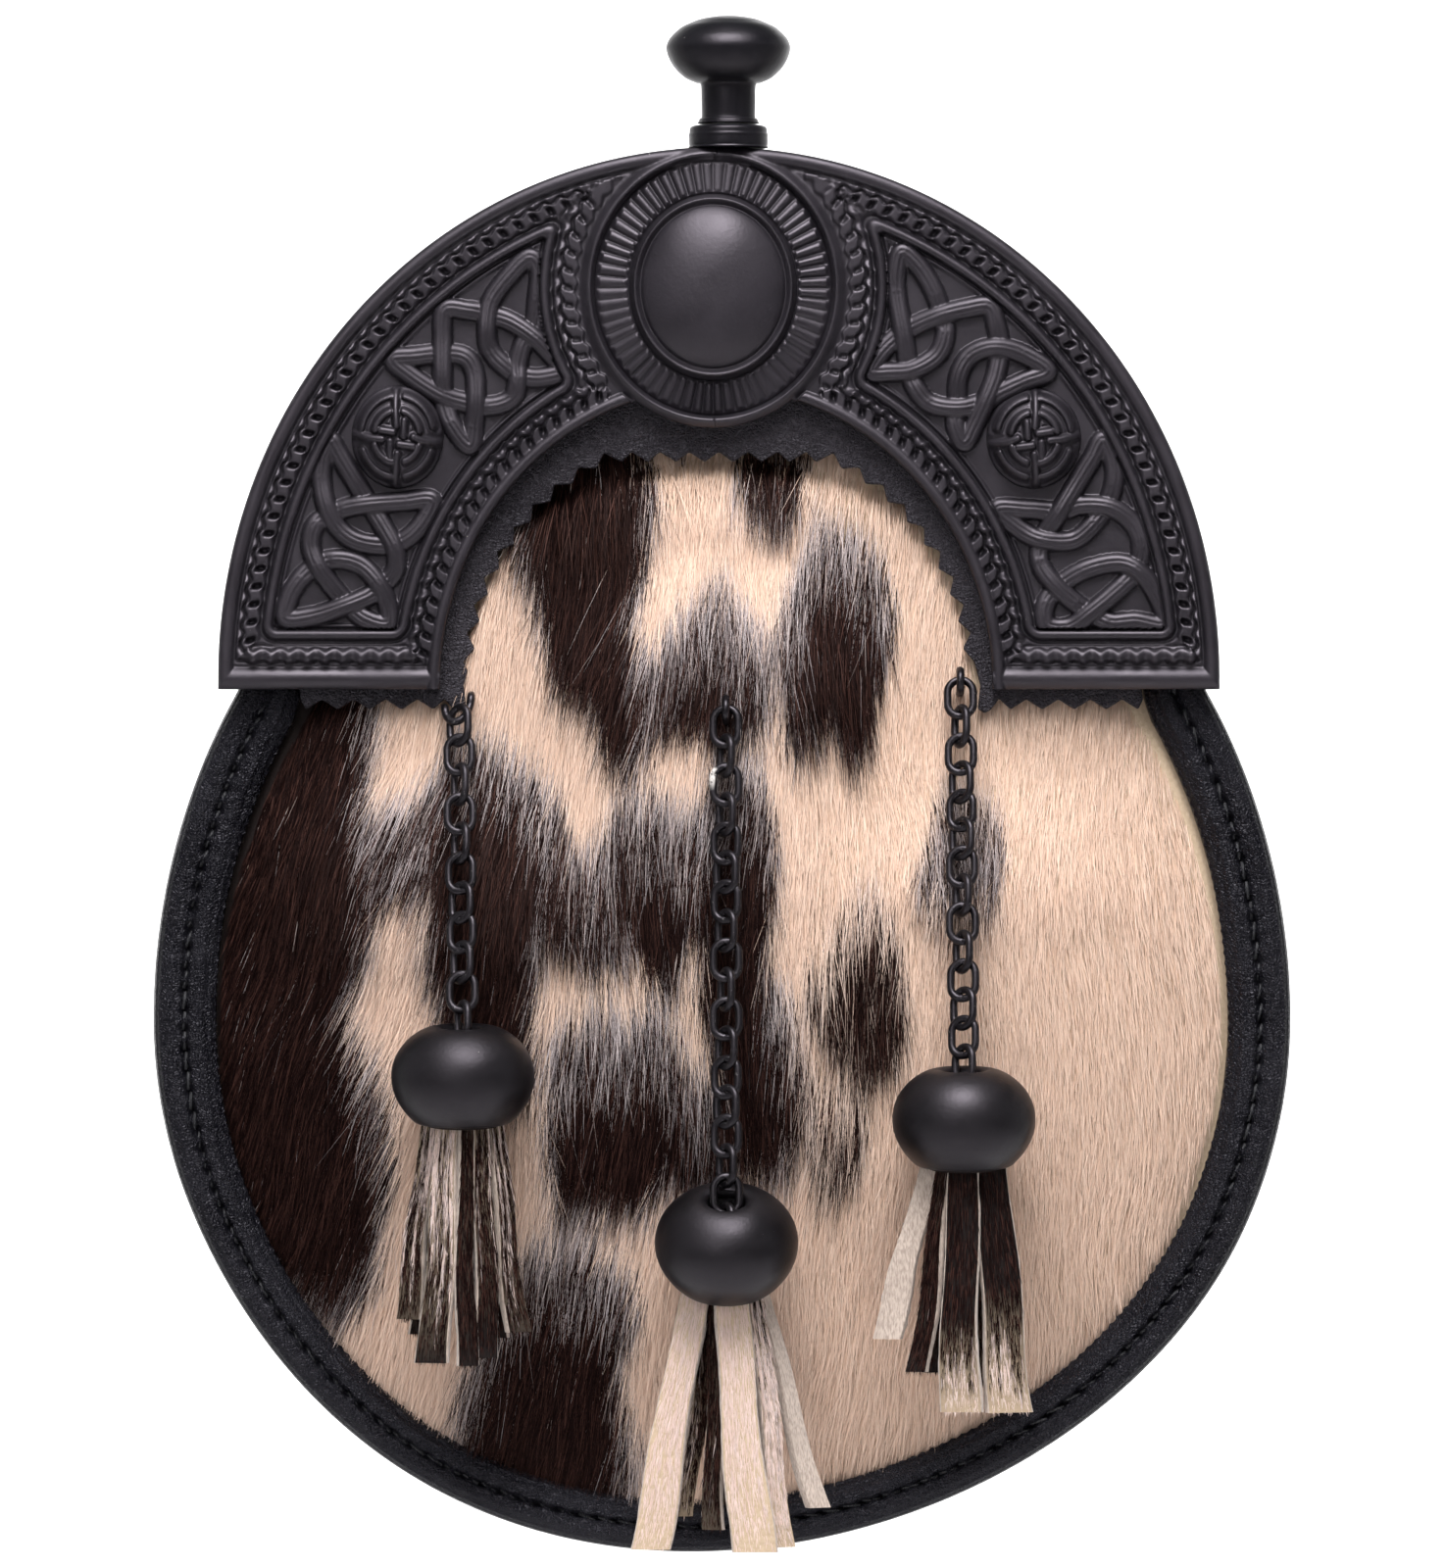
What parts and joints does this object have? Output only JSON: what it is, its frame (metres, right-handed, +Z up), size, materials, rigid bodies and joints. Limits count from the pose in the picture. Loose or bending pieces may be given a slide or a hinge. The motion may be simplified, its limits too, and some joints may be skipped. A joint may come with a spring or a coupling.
{
  "type": "sporran pouch",
  "caption": "Hair-on hide sporran pouch with a padded leather border, a knotwork metal cantle and knob, and chain-hung beads with cut hide tassels",
  "frame": {"origin": "midway between the two belt loops on the back, in the gap that the strap passes through", "axes": "+Z up along the worn pouch, -Y out of its front, +X to the right seen from the front"},
  "size_m": [0.1802, 0.0578, 0.2435],
  "materials": {
    "black_metal": "satin black over cast relief",
    "chain_metal": "satin black wire",
    "black_leather": "satin black grained leather, stitched border",
    "hide": "hair-on hide, cream with dark brown patches, hair lying downwards",
    "tassel_hide": "cut strips of hair-on hide with pale suede edges"
  },
  "bodies": {
    "root": {"cantle": "black_metal", "finial_collar": "black_metal", "finial_knob": "black_metal", "pinked_facing": "black_leather", "front_panel": "hide", "edge_binding": "black_leather", "gusset": "black_leather", "back_panel": "black_leather", "belt_loop_left": "black_leather", "belt_loop_right": "black_leather", "chain_staple_left": "chain_metal", "chain_left": "chain_metal", "bead_left": "black_metal", "tassel_left": "tassel_hide", "chain_staple_middle": "chain_metal", "chain_middle": "chain_metal", "bead_middle": "black_metal", "tassel_middle": "tassel_hide", "chain_staple_right": "chain_metal", "chain_right": "chain_metal", "bead_right": "black_metal", "tassel_right": "tassel_hide"}
  },
  "joints": []
}
